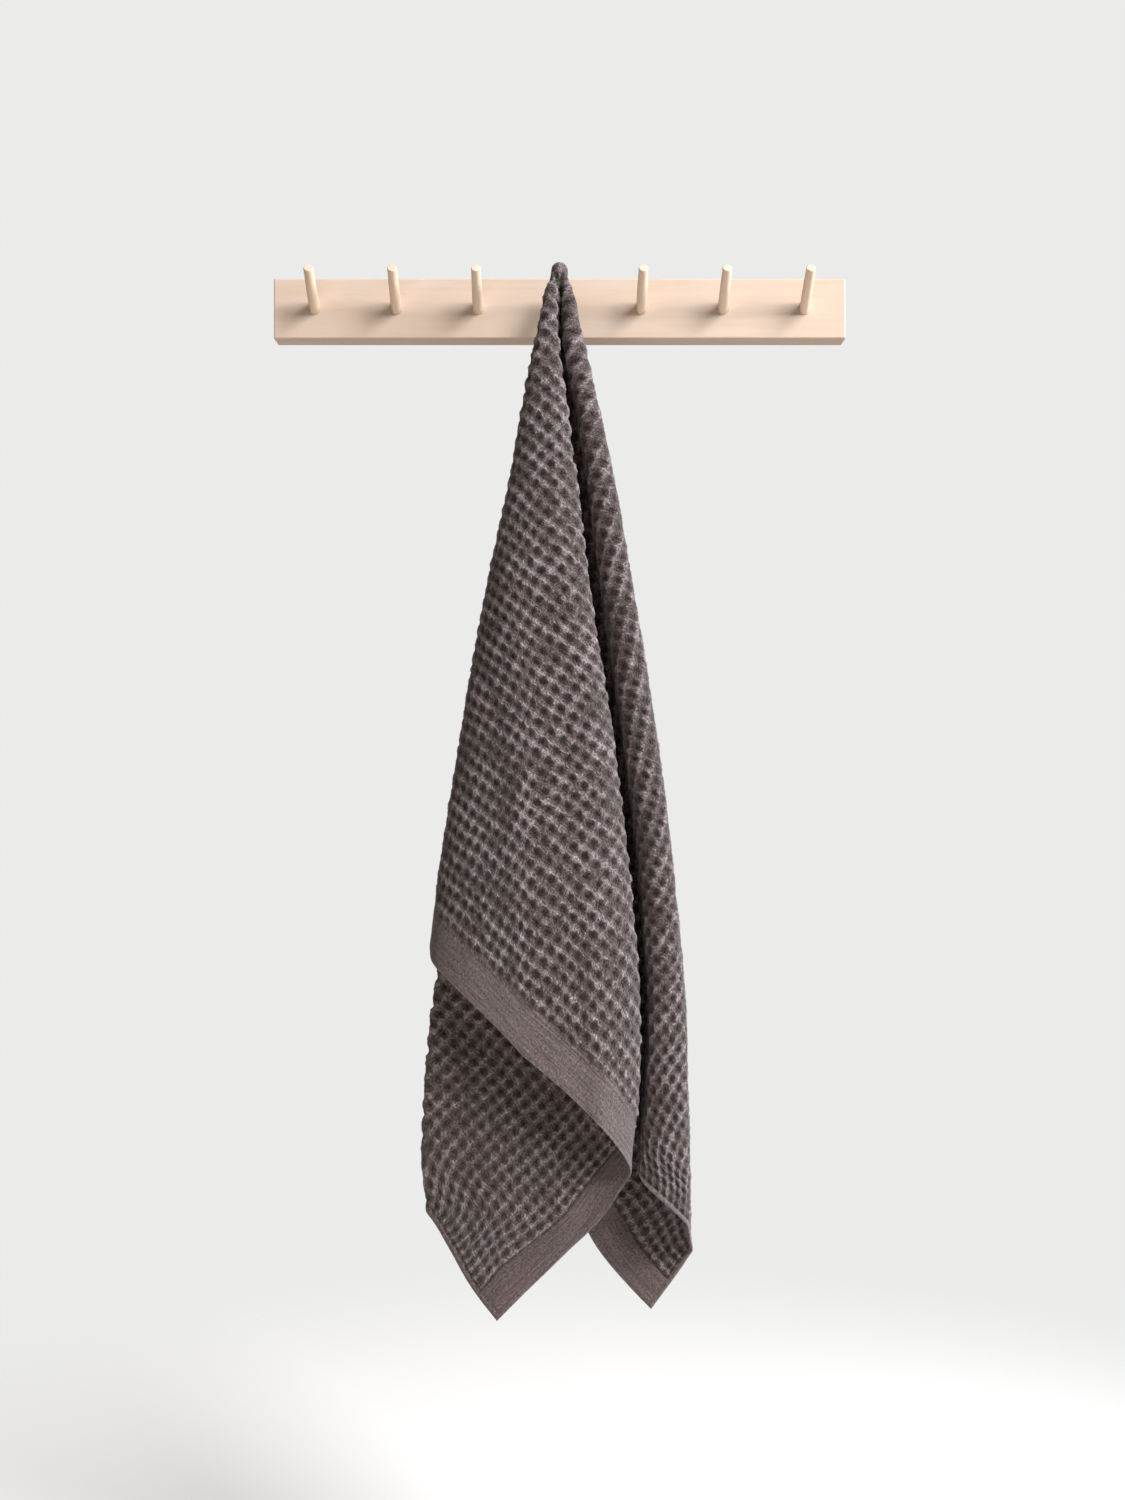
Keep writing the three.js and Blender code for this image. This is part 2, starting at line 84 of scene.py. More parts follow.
# Level sections of the bundle: distance from the peg's tip in the flat cloth, places of the folds in X,
# front and back in Y, turn of the cloth round the peg in degrees, and how evenly the layers are bunched
LEVEL_COLUMNS = (
    "r", "F1", "F2", "F3", "H1", "H2", "gap", "F4", "K1", "K2", "front", "back", "twist", "bunch",
)
LEVELS = [
    [45, -16, -4, -11, 0, -8, 5, 16, 6, 14, -107, -69, 2, 1.0],
    [90, -24, -4, -17, -1, -14, 5, 24, 2, 18, -113, -60, 0, 0.95],
    [160, -38, 4, -26, 1, -22, 17, 39, -2, 31, -121, -54, -4, 0.8],
    [250, -54, 16, -36, 9, -34, 32, 58, -4, 46, -130, -49, -5, 0.6],
    [400, -84, 34, -64, 27, -62, 52, 84, -30, 70, -142, -42, -3, 0.35],
    [600, -118, 64, -98, 56, -94, 79, 115, -80, 98, -152, -35, 0, 0.1],
    [800, -148, 86, -130, 78, -128, 100, 139, -118, 121, -157, -30, 0, 0],
    [900, -160, 93, -148, 84, -138, 106, 147, -126, 126, -157, -30, 0, 0],
    [1000, -168, 92, -158, 82, -142, 104, 150, -128, 128, -156, -32, 0, 0],
    [1110, -174, 84, -162, 72, -138, 93, 153, -112, 128, -152, -36, 0, 0],
    [1155, -176, 88, -158, 68, -135, 89, 153, -100, 128, -150, -39, 0, 0],
    [1200, -178, 78, -184, 64, -132, 86, 157, -114, 126, -146, -42, 0, 0],
    [1245, -180, 75, -218, 60, -129, 83, 179, -132, 125, -143, -45, 0, 0],
    [1290, -180, 74, -242, 58, -126, 80, 199, -138, 124, -140, -48, 0, 0],
]

# Depth of each layer as a share from front to back, where it hangs free and where it is bunched
LAYER_DEPTHS = {
    "back": (1.03, 1.0),
    "layer2": (0.42, 0.22),
    "layer3": (0.54, 0.33),
    "layer4": (0.62, 0.44),
    "layer5": (0.70, 0.55),
    "lobe": (0.26, 0.12),
    "layer6": (0.78, 0.66),
    "layer7": (0.86, 0.78),
    "layer8": (0.94, 0.89),
}

# Controls of a level section. Places are shares of the whole bundle's width for the lap at the back and
# the tail, and of the flap's or the lobe's own width for those. Depths are shares from front to back, and
# a pair of them holds the one where the cloth hangs free and the one where it is bunched.
LAP = {"past": 1.35, "middle": 0.5, "near": 0.16, "heel": 0.92, "flank": 0.66, "brow": 0.42}
FLAP = {"shoulder": 0.03, "crest": 0.24, "plain": 0.7, "roll": 0.08}
FLAP_DEPTHS = {
    "shoulder": (0.1, 0.15),
    "crest": (-0.02, 0),
    "plain": (0, 0),
    "roll": (0.1, 0.04),
    "edge": (0.24, 0.1),
}
UNDER = {"turn": 1.5, "lift": 0.04, "middle": 0.5, "rise": 0.02}
LOBE = {
    "heel": 0.1, "wall_rise": 0.05, "brow": 0.04, "brow_sink": 0.06, "crest": 0.38, "crest_rise": 0.02,
    "side": 0.88, "side_sink": 0.02,
}
LOBE_EDGE = {"sink": (0.09, 0.07), "lift": 0.1, "turn": 0.12}
TAIL = {"middle": 0.45, "past": 0.1}

# A pleat runs straight before it turns, for this share of the bundle's depth or of the layer beside it
PLEAT_RUN = {"of_depth": 0.13, "of_layer": 0.3}

# How finely the hung surface is worked out: mm, degrees and steps to a control point
SECTION_STEP = 5
ANGLE_STEP = 0.05
LAST_ANGLE = 192
CURVE_STEPS = 16

# The weave: cells of 16 mm, six mesh steps to a cell, with round pits between ridges on both faces, half a
# cell apart. Ridges along the width stand a little higher than those along the length, and they scallop.
CELL_STEPS = 6
CELLS_LONG = 100
CELLS_WIDE = 62
PANELS = 5
PIT_FLAT = 0.1
PIT_REACH = 1.05
CROSS_RIDGE_SINK = 0.24
PIT_LEVEL = -1.3
RELIEF = 4.0
SCALLOP = 0.8

# How far the ridges wander, mm, with the mesh steps between free values, and how uneven their height is
CELL_WANDER = 1.9
CELL_WANDER_SPACING = 2.2 * CELL_STEPS
YARN_WANDER = 0.55
YARN_WANDER_SPACING = 1.3
CELL_UNEVEN = 0.2
YARN_UNEVEN = 0.16
PEG_HOLD = 40

# Where the cells lie turned against the folds: flat place, reach in mm and turn in degrees
SWIRLS = [
    (640, 880, 150, 13),
    (-440, 790, 160, -20),
]
EDGE_HOLD = 80

# Soft creases from the peg down: angle at the peg, first and last distance, half width and height in mm
CREASES = [
    (25, 180, 640, 16, -2.5),
    (31, 260, 900, 20, 2.6),
    (37, 420, 980, 18, -2.4),
    (51, 880, 1260, 24, 2.2),
    (115, 240, 700, 12, 2.0),
    (120, 620, 1150, 16, -2.2),
    (39.5, 820, 1400, 24, 4.5),
    (24, 40, 260, 3.4, 1.2),
    (31, 40, 240, 3.6, 1.1),
    (41, 30, 620, 4.0, 1.8),
    (112, 40, 220, 3.6, 1.2),
]
CREASE_FADE = 0.35

# Plain-woven bands at both ends, turned under as a hem, and narrow hems along the long edges: mesh steps
BAND_STEPS = 18
BAND_RAGGED = 3.4
BAND_RAGGED_FINE = 0.3
BAND_RAGGED_SPACING = 2.0
BAND_FADE = 2.5
HEM_STEPS = 18
STRIP_STEPS = 2

# Their heights over the cloth's middle, mm, and waves and yarns as height and mesh steps to a free value
BAND_LEVEL = 1.1
HEM_LEVEL = 2.0
STRIP_LEVEL = 1.6
RIM_LEVEL = 0.55
HEM_WAVES = (0.35, 5)
HEM_YARNS = (0.15, 1)
HEM_STEP_WIDTH = 0.9
STITCH_SINK = 0.7
FOLD_LINE_SINK = 1.1
SLIT_RELIEF = 0.9

# How light the smooth woven places are, on the scale of the relief from pit, 0, to ridge, 1, and how far
# painted shade darkens the whole reverse face
BAND_SHADE = 0.84
STRIP_SHADE = 0.93
END_SHADE = 1.0
REVERSE_PAINTED_SHADE = 0.95

# Round the peg's tip, mm from it: a painted highlight lightens the cloth where light falls on its top, and
# its cells are drawn together
PAINTED_TOP_LIGHT_REACH = 19
PAINTED_TOP_LIGHT_FADE = 8
PAINTED_TOP_LIGHT_LEVEL = 0.97
PAINTED_TOP_LIGHT_SHARE = 0.7
DRAWN_REACH = 20
DRAWN_FADE = {"front": 50, "reverse": 170}
DRAWN_LEAST = {"front": 0.7, "reverse": 0.2}

# Patterns of the linen in the flat cloth: noise values to the metre along and across it, and detail
WARP_YARN = ((150.0, 430.0), 2.0)
WEFT_YARN = ((430.0, 150.0), 2.0)
FIBRE_FLECK = ((300.0, 300.0), 3.0, 0.8)
BAND_STREAK = ((330.0, 16.0), 3.0)
DYE_CLOUD = ((16.0, 16.0), 1.0)

# How each pattern changes the shade: the noise's range and the range of the shade that it gives
YARN_SHADES = (0.45, 0.7, 0.5, 1.5)
FLECK_SHADES = (0.35, 0.65, 0.35, 1.65)
STREAK_SHADES = (0.33, 0.67, 0.62, 1.42)
CLOUD_SHADES = (0.3, 0.7, 0.93, 1.07)

# Colours: linen from pit to ridge, with painted shade in the pits and painted light on the ridges, and
# birch from dark to light grain, each with its place on the ramp
LINEN_AND_PAINTED_SHADE_COLOURS = ((0.0, "1d100d"), (0.3, "46332f"), (0.8, "665451"), (1.0, "a99a9d"))
GRAIN_PLACES = (0.38, 0.95)
BOARD_COLOURS = ("dfcbba", "d8bfa9")
PEG_COLOURS = ("f1dcc8", "eac9ab")
FLOOR_COLOUR = "f2f2f1"
SEEN_COLOUR = "ebebea"
WORLD_COLOUR = "f8e2d0"
WORLD_STRENGTH = 0.11

# Sizes that the photograph's framing gives
CAMERA_PLACE = (3.5, -2036, -540.7)
FOCAL_PIXELS = 1633.6
PICTURE_HEIGHT = 1500
SENSOR = 36.0

# The stage, m: the floor's height and radius, and where it fades out
FLOOR_HEIGHT = -1.72
FLOOR_RADIUS = 3.1
FLOOR_SIDES = 96
FLOOR_FADE = (0.7, 1.9)

# Lights: name, place and target in m, size in m, power in W and colour
LIGHTS = [
    ("window", (2.45, -2.75, 2.9), (0, 0, -0.5), 1.8, 270, (0.97, 0.98, 1.0)),
    ("side_window", (3.8, -1.0, 0.9), (0, 0, -0.7), 0.8, 185, (0.93, 0.96, 1.0)),
    ("fill", (-0.9, -2.8, 0.2), (0, 0, -0.5), 1.2, 9, (1.0, 0.93, 0.88)),
    ("floor_glow", (0, -0.9, -1.7), (0, -0.9, 0), 2.4, 11, (1.0, 0.93, 0.86)),
    ("wall_glow", (-1.2, 2.6, 0.9), (0, 0, -0.5), 2.0, 45, (1.0, 0.97, 0.94)),
]


def linear(hex_colour):
    """An sRGB hex colour as linear RGBA."""
    parts = [int(hex_colour[i:i + 2], 16) / 255 for i in (0, 2, 4)]
    return [c / 12.92 if c <= 0.04045 else ((c + 0.055) / 1.055) ** 2.4 for c in parts] + [1.0]


def mix(a, b, share):
    """From a, at share 0, to b, at share 1."""
    return a * (1 - share) + b * share


def eased(t):
    """A share from 0 to 1 that starts and ends softly."""
    return t * t * (3 - 2 * t)


def add_object(name, data):
    """An object of mesh, light or camera data in the scene."""
    made = bpy.data.objects.new(name, data)
    bpy.context.scene.collection.objects.link(made)
    return made


def finished_mesh(shape, name):
    """The bmesh as a mesh."""
    mesh = bpy.data.meshes.new(name)
    shape.to_mesh(mesh)
    shape.free()
    return mesh


# The hung surface

def levels_at(r):
    """Each column of LEVELS at the distances r, on a smooth curve through the rows."""
    rows = np.array(LEVELS, float)
    known = rows[:, 0]
    gaps = np.diff(known)
    slopes = np.diff(rows, axis=0) / gaps[:, None]
    tangents = np.concatenate([slopes[:1], slopes[:1], slopes[1:]])
    weighted = slopes[1:] * gaps[:-1, None] + slopes[:-1] * gaps[1:, None]
    tangents[1:-1] = weighted / (gaps[1:] + gaps[:-1])[:, None]
    at = np.clip(r, known[0], known[-1])
    i = np.clip(np.searchsorted(known, at) - 1, 0, len(gaps) - 1)
    h = gaps[i][:, None]
    t = (at - known[i])[:, None] / h
    start = (2 * t**3 - 3 * t**2 + 1) * rows[i] + (t**3 - 2 * t**2 + t) * h * tangents[i]
    end = (3 * t**2 - 2 * t**3) * rows[i + 1] + (t**3 - t**2) * h * tangents[i + 1]
    return dict(zip(LEVEL_COLUMNS, (start + end).T))


def section_controls(c):
    """Control points of one level section seen from above, and where each fold lies among them."""
    depth = {name: mix(free, bunched, c["bunch"]) for name, (free, bunched) in LAYER_DEPTHS.items()}
    points = []
    marks = {}

    def add(x, share):
        points.append((x, mix(c["front"], c["back"], share)))

    turn_length = (c["back"] - c["front"]) * PLEAT_RUN["of_depth"]

    def run(layer):
        return min(turn_length, PLEAT_RUN["of_layer"] * abs(layer))

    def turn(name, side, before, share_in, share_out, after):
        add(c[name] - run(before - c[name]) * side, share_in)
        add(c[name], share_in)
        marks[name] = len(points)
        add(c[name], share_out)
        add(c[name] - run(after - c[name]) * side, share_out)

    def flap_depth(name):
        return mix(*FLAP_DEPTHS[name], c["bunch"])

    flap = c["F2"] - c["F1"]
    lobe = c["F4"] - c["gap"]
    whole = c["F4"] - c["F1"]

    # Back layer, which wraps round all the others to the left fold
    add(c["F1"] + LAP["past"] * whole, depth["back"])
    add(c["F1"] + LAP["middle"] * whole, depth["back"])
    add(c["F1"] + LAP["near"] * flap, depth["back"])
    add(c["F1"], LAP["heel"])
    add(c["F1"], LAP["flank"])
    add(c["F1"], LAP["brow"])
    marks["F1"] = len(points)

    # Front flap and its right fold
    add(c["F1"] + FLAP["shoulder"] * flap, flap_depth("shoulder"))
    add(c["F1"] + FLAP["crest"] * flap, flap_depth("crest"))
    marks["flap"] = len(points)
    add(c["F1"] + FLAP["plain"] * flap, flap_depth("plain"))
    add(c["F2"] - FLAP["roll"] * flap, flap_depth("roll"))
    add(c["F2"], flap_depth("edge"))
    marks["F2"] = len(points)
    add(c["F2"], depth["layer2"] - UNDER["lift"])
    add(c["F2"] - UNDER["turn"] * run(c["F2"] - c["F3"]), depth["layer2"])
    add(mix(c["F2"], c["F3"], UNDER["middle"]), depth["layer2"] - UNDER["rise"] * (1 - c["bunch"]))

    # Pleats inside
    turn("F3", -1, c["F2"], depth["layer2"], depth["layer3"], c["H1"])
    turn("H1", 1, c["F3"], depth["layer3"], depth["layer4"], c["H2"])
    turn("H2", -1, c["H1"], depth["layer4"], depth["layer5"], c["F4"])

    # Right lobe, which comes forward beside the front flap
    add(c["gap"] - LOBE["heel"] * lobe, depth["layer5"])
    add(c["gap"], depth["layer5"] - LOBE["wall_rise"])
    add(c["gap"], 0.5 * (depth["layer5"] + depth["lobe"]))
    add(c["gap"] + LOBE["brow"] * lobe, depth["lobe"] + LOBE["brow_sink"])
    add(c["gap"] + LOBE["crest"] * lobe, depth["lobe"] - LOBE["crest_rise"])
    add(c["gap"] + LOBE["side"] * lobe, depth["lobe"] + LOBE["side_sink"])
    add(c["F4"], depth["lobe"] + mix(*LOBE_EDGE["sink"], c["bunch"]))
    marks["F4"] = len(points)
    add(c["F4"], depth["layer6"] - LOBE_EDGE["lift"])
    add(c["F4"] - LOBE_EDGE["turn"] * lobe, depth["layer6"])

    # Pleats at the back, to the free end
    turn("K1", -1, c["F4"], depth["layer6"], depth["layer7"], c["K2"])
    turn("K2", 1, c["K1"], depth["layer7"], depth["layer8"], c["F1"])
    add(c["F1"] + TAIL["middle"] * whole, depth["layer8"])
    add(c["F1"] - TAIL["past"] * whole, depth["layer8"])
    return np.array(points), marks


def section_line(c, angles):
    """Where one level section passes each hang angle: a smooth curve by its controls, read by length."""
    points, marks = section_controls(c)
    middles = (points[:-1] + points[1:]) / 2
    t = np.arange(1, CURVE_STEPS + 1)[:, None] / CURVE_STEPS
    pieces = [middles[:1]]
    for i in range(1, len(points) - 1):
        pieces.append((1 - t)**2 * middles[i - 1] + 2 * t * (1 - t) * points[i] + t**2 * middles[i])
    curve = np.concatenate(pieces)
    lengths = np.concatenate([[0], np.cumsum(np.hypot(*np.diff(curve, axis=0).T))])
    fold_lengths = np.array([lengths[(marks[name] - 1) * CURVE_STEPS] for name in FOLDS])
    fold_angles = np.array(list(FOLDS.values()), float)
    at = np.interp(angles, fold_angles, fold_lengths)
    # Before the first fold and past the last one the cloth runs on by its own arc
    arc = np.radians(1.0) * c["r"]
    at += np.minimum(angles - fold_angles[0], 0) * arc + np.maximum(angles - fold_angles[-1], 0) * arc
    return np.interp(at, lengths, curve[:, 0]), np.interp(at, lengths, curve[:, 1])


def section_tables():
    """X and Y of the bundle on a regular grid of distances from the peg's tip and hang angles."""
    distances = np.arange(LEVELS[0][0], LEVELS[-1][0] + SECTION_STEP, SECTION_STEP, dtype=float)
    angles = np.arange(0, LAST_ANGLE, ANGLE_STEP)
    columns = levels_at(distances)
    rows = [{name: columns[name][k] for name in LEVEL_COLUMNS} for k in range(len(distances))]
    lines = [section_line(row, angles) for row in rows]
    return np.array([line[0] for line in lines]), np.array([line[1] for line in lines])


def read_table(table, row, column):
    """The table's value at fractional rows and columns."""
    i = np.clip(row.astype(int), 0, table.shape[0] - 2)
    j = np.clip(column.astype(int), 0, table.shape[1] - 2)
    a = np.clip(row - i, 0, 1)
    b = column - j
    return mix(mix(table[i, j], table[i + 1, j], a), mix(table[i, j + 1], table[i + 1, j + 1], a), b)


SECTIONS_X, SECTIONS_Y = section_tables()


def hang(u, w):
    """Where the flat cloth's points (u, w) lie in the hung towel, mm."""
    shape = u.shape
    u, w = u.ravel(), w.ravel()
    first = LEVELS[0][0]
    r = np.hypot(u, w)
    flat_angle = np.degrees(np.arctan2(w, u))
    angle = flat_angle + levels_at(r)["twist"]
    row = (np.maximum(r, first) - first) / SECTION_STEP
    section_x = read_table(SECTIONS_X, row, angle / ANGLE_STEP)
    section_y = read_table(SECTIONS_Y, row, angle / ANGLE_STEP)

    # Over the peg's tip the cloth is a small dome, and from there it runs into the sections
    turn = np.radians(HOOD_HALF_TURN * (flat_angle / 90 - 1))
    dome = np.minimum(r / HOOD_ARC, 1) * math.pi / 2
    hood_x = HOOD_TOP[0] + HOOD_HALF_WIDTH * np.sin(dome) * np.sin(turn)
    hood_y = HOOD_TOP[1] - HOOD_HALF_DEPTH * np.sin(dome) * np.cos(turn)
    share = np.clip((r - HOOD_ARC) / (first - HOOD_ARC), 0, 1) ** HOOD_BLEND
    x = mix(hood_x, section_x, share)
    y = mix(hood_y, section_y, share)

    # A ruling that runs outwards hangs less deep
    outwards = np.maximum(0, np.hypot(x - HOOD_TOP[0], y - HOOD_TOP[1]) - HOOD_HALF_WIDTH)
    along = HANG_RATIO * np.maximum(r - HOOD_ARC, 0)
    below = np.sqrt(np.maximum(along**2 - outwards**2, STEEPEST_RULING * along**2))
    drop = np.where(r <= HOOD_ARC, HOOD_DROP * (1 - np.cos(dome)), HOOD_DROP + below)
    return np.stack([x, y, HOOD_TOP[2] - drop], axis=-1).reshape(*shape, 3)


def outward(points):
    """Unit normals of a grid of points, towards the cloth's outer face."""
    normals = np.cross(np.gradient(points, axis=0), np.gradient(points, axis=1))
    size = np.linalg.norm(normals, axis=-1, keepdims=True)
    return normals / np.maximum(size, 1e-9)


# The weave's relief, on one grid of mesh steps for the whole cloth

STEPS_LONG = CELLS_LONG * CELL_STEPS
STEPS_WIDE = CELLS_WIDE * CELL_STEPS
STEP_LONG = CLOTH_LENGTH / STEPS_LONG
STEP_WIDE = CLOTH_WIDTH / STEPS_WIDE


def soft_noise(shape, spacing):
    """Smooth random values from -1 to 1 on a grid, with one free value each spacing steps."""
    coarse = rng.uniform(-1, 1, [int(n / spacing) + 3 for n in shape])
    for axis, count in enumerate(shape):
        at = np.arange(count) / spacing
        i = at.astype(int)
        share = eased(at - i).reshape([-1, 1] if axis == 0 else [1, -1])
        coarse = mix(np.take(coarse, i, axis), np.take(coarse, i + 1, axis), share)
    return coarse


def from_ridge(steps, offset):
    """Share of the way from a ridge, 0, to the middle between two ridges, 1, at each mesh step."""
    away = (np.arange(steps + 1) - offset) % CELL_STEPS
    return np.minimum(away, CELL_STEPS - away) / (CELL_STEPS / 2)


def steps_from_edge(steps):
    """Mesh steps to the nearer end, at each mesh step."""
    count = np.arange(steps + 1)
    return np.minimum(count, steps - count)


def drawn_askew(u, w):
    """The flat places with the swirls of the hung cells added, held still along the cut edges."""
    edge = np.minimum(CLOTH_LENGTH / 2 - np.abs(u), np.minimum(w, CLOTH_WIDTH - w))
    hold = eased(np.clip(edge / EDGE_HOLD, 0, 1))
    shift_u, shift_w = np.zeros_like(u), np.zeros_like(w)
    for centre_u, centre_w, reach, turn in SWIRLS:
        away_u, away_w = u - centre_u, w - centre_w
        share = math.radians(turn) * hold * np.exp(-(away_u**2 + away_w**2) / (2 * reach**2))
        shift_u -= share * away_w
        shift_w += share * away_u
    return u + shift_u, w + shift_w


def crease_heights(u, w):
    """How far the soft creases lift the cloth, mm."""
    r = np.hypot(u, w)
    angle = np.degrees(np.arctan2(w, u))
    lift = np.zeros_like(u)
    for at, first, last, half_width, height in CREASES:
        across = np.radians(angle - at) * r / half_width
        along = np.clip(np.minimum(r - first, last - r) / (CREASE_FADE * (last - first)), 0, 1)
        lift += height * np.exp(-across**2) * along * along * (3 - 2 * along)
    return lift


def face_of_cloth(front):
    """Flat places, height over the cloth's middle, relief share, which also sets the painted shade of pits
    and ridges, and plain share of one face's points.
    """
    shape = (STEPS_LONG + 1, STEPS_WIDE + 1)
    from_end = steps_from_edge(STEPS_LONG)[:, None] * np.ones(shape)
    from_side = steps_from_edge(STEPS_WIDE)[None, :] * np.ones(shape)
    u = (np.arange(shape[0])[:, None] - STEPS_LONG / 2) * STEP_LONG * np.ones(shape)
    w = np.arange(shape[1])[None, :] * STEP_WIDE * np.ones(shape)

    # Ridges wander a little, but not at the cut edges
    inside = np.clip(from_end / CELL_STEPS, 0, 1) * np.clip(from_side / CELL_STEPS, 0, 1)
    loose = inside * np.clip(np.hypot(u, w) / PEG_HOLD, 0, 1)
    u += loose * SCALLOP * np.cos(2 * math.pi * np.arange(shape[1]) / CELL_STEPS)[None, :]
    for place in (u, w):
        wander = CELL_WANDER * soft_noise(shape, CELL_WANDER_SPACING)
        place += loose * (wander + YARN_WANDER * soft_noise(shape, YARN_WANDER_SPACING))
    if not front:
        # The reverse face's ridges lie half a cell from the front's, and its points half a step further on
        u += inside * STEP_LONG / 2
        w += inside * STEP_WIDE / 2

    offset = 0 if front else CELL_STEPS // 2
    away_long = from_ridge(STEPS_LONG, offset)[:, None] * np.ones(shape)
    away_wide = from_ridge(STEPS_WIDE, offset)[None, :] * np.ones(shape)
    # The relief share from pit, 0, to ridge, 1, sets the height and also the colour: painted shade in the
    # pits, painted light on the ridges
    rise = np.clip((np.hypot(1 - away_long, 1 - away_wide) - PIT_FLAT) / (PIT_REACH - PIT_FLAT), 0, 1)
    relief = eased(rise) * (1 - CROSS_RIDGE_SINK * away_long * (1 - away_wide))
    relief = relief * (1 + CELL_UNEVEN * soft_noise(shape, CELL_STEPS)) + YARN_UNEVEN * soft_noise(shape, 1)

    # Plain end bands: in front the cells fade out unevenly, on the reverse the turned hem has a crisp edge
    in_cell = np.arange(shape[1]) // CELL_STEPS
    by_cell = rng.uniform(0, 1, in_cell[-1] + 1)[in_cell][None, :]
    ragged = BAND_RAGGED * (by_cell + BAND_RAGGED_FINE * soft_noise(shape, BAND_RAGGED_SPACING))
    if front:
        band = np.clip(1 - (from_end - BAND_STEPS - ragged) / BAND_FADE, 0, 1)
    else:
        band = from_end <= HEM_STEPS
    strip = from_side <= STRIP_STEPS
    slit = (from_side == STRIP_STEPS + 1) & (from_end > BAND_STEPS)
    # The slit beside a side hem is a groove, and its low relief share also paints it dark as shade
    relief = np.where(slit, SLIT_RELIEF * (1 - away_long) ** 2, relief)
    height = PIT_LEVEL + RELIEF * relief
    height = mix(height, STRIP_LEVEL, strip)
    height = mix(height, BAND_LEVEL if front else HEM_LEVEL, band)
    unevenness = [most * soft_noise(shape, spacing) for most, spacing in (HEM_WAVES, HEM_YARNS)]
    height += sum(unevenness) * np.maximum(band, strip)
    if not front:
        # The steps beside the hems are narrow, so that their edges show as fine lines, drawn in by stitches
        end = np.where(u > 0, 1, -1)
        edge = CLOTH_LENGTH / 2 - HEM_STEPS * STEP_LONG
        u = np.where(from_end == HEM_STEPS, end * edge, u)
        u = np.where(from_end == HEM_STEPS + 1, end * (edge - HEM_STEP_WIDTH), u)
        height = np.where((from_end == HEM_STEPS + 1) & ~strip, PIT_LEVEL, height)
        stitch = (from_end == HEM_STEPS - 1) & (np.arange(shape[1]) % 2 == 0)[None, :]
        height -= STITCH_SINK * stitch
        fold_line = (from_side == STRIP_STEPS + 1) & (from_end <= HEM_STEPS)
        height -= FOLD_LINE_SINK * fold_line
    plain = np.maximum(band, strip) * np.ones(shape)
    relief = mix(np.clip(relief, 0, 1), BAND_SHADE, plain)
    if front:
        relief = np.where(strip, STRIP_SHADE, relief)
        relief = np.where(from_end == 0, END_SHADE, relief)
    else:
        # The whole reverse face is darkened: painted shade for the folds it lies in
        relief = relief * REVERSE_PAINTED_SHADE

    # Over the peg's tip the cloth is lightened by a painted highlight where light falls on it from above,
    # and near it the cells are drawn together, more so on the side that lies on the peg
    r = np.hypot(u, w)
    painted_top_light = np.clip((PAINTED_TOP_LIGHT_REACH - r) / PAINTED_TOP_LIGHT_FADE, 0, 1)
    relief = mix(relief, PAINTED_TOP_LIGHT_LEVEL, PAINTED_TOP_LIGHT_SHARE * painted_top_light)
    side = "front" if front else "reverse"
    loosened = np.clip((r - DRAWN_REACH) / DRAWN_FADE[side], 0, 1)
    height = height * mix(DRAWN_LEAST[side], 1.0, loosened)
    rim = (from_end == 0) | (from_side == 0)
    height = np.where(rim, RIM_LEVEL, height)
    return {"u": u, "w": w, "height": height, "relief": relief, "plain": plain}


def face_points(face, side):
    """The face's points in the hung towel, metres. side is 1 on the outer face and -1 on the reverse."""
    middle = hang(*drawn_askew(face["u"], face["w"]))
    lift = crease_heights(face["u"], face["w"]) + side * face["height"]
    return (middle + outward(middle) * lift[..., None]) * MM


def panel_shell(first, last):
    """A flat mesh of two grids joined round their edges. X and Y are mesh steps, Z is the side."""
    long = last - first
    shell = bmesh.new()
    for side in (1, -1):
        middle = Matrix.Translation(((first + last) / 2, STEPS_WIDE / 2, side))
        spread = Matrix.Diagonal((long, STEPS_WIDE, 1, 1))
        made = bmesh.ops.create_grid(
            shell, x_segments=long, y_segments=STEPS_WIDE, size=0.5, matrix=middle @ spread)
        if side == -1:
            faces = {face for vert in made["verts"] for face in vert.link_faces}
            bmesh.ops.reverse_faces(shell, faces=list(faces))
    borders = [edge for edge in shell.edges if edge.is_boundary]
    for face in shell.faces:
        face.smooth = True
    bridged = bmesh.ops.bridge_loops(shell, edges=borders)
    for face in bridged["faces"]:
        face.smooth = False
    bmesh.ops.recalc_face_normals(shell, faces=bridged["faces"])
    return finished_mesh(shell, "towel")


def towel_panel(name, first, last, faces, points, material):
    """One length of the towel: the flat shell's points are moved to their places in the hung cloth."""
    mesh = panel_shell(first, last)
    flat = np.empty(len(mesh.vertices) * 3, np.float32)
    mesh.vertices.foreach_get("co", flat)
    flat = flat.reshape(-1, 3)
    i = np.rint(flat[:, 0]).astype(int)
    j = np.rint(flat[:, 1]).astype(int)
    outer = flat[:, 2] > 0

    def pick(values):
        return np.where(outer if values[0].ndim == 2 else outer[:, None], values[0][i, j], values[1][i, j])

    mesh.vertices.foreach_set("co", pick(points).astype(np.float32).ravel())
    # The relief share goes on as an attribute that the linen's ramp turns into painted shade and painted
    # light
    for key in ("relief", "plain"):
        attribute = mesh.attributes.new(key, "FLOAT", "POINT")
        attribute.data.foreach_set("value", pick([face[key] for face in faces]).astype(np.float32))
    corner = np.empty(len(mesh.loops), np.int32)
    mesh.loops.foreach_get("vertex_index", corner)
    uv = np.stack([pick([face["u"] for face in faces]), pick([face["w"] for face in faces])], axis=-1) * MM
    layer = mesh.uv_layers.new(name="flat_cloth")
    layer.data.foreach_set("uv", uv[corner].astype(np.float32).ravel())
    mesh.materials.append(material)
    mesh.update()
    panel = add_object(name, mesh)
    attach(panel, "root")
    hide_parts("towel")
    return panel


# Materials

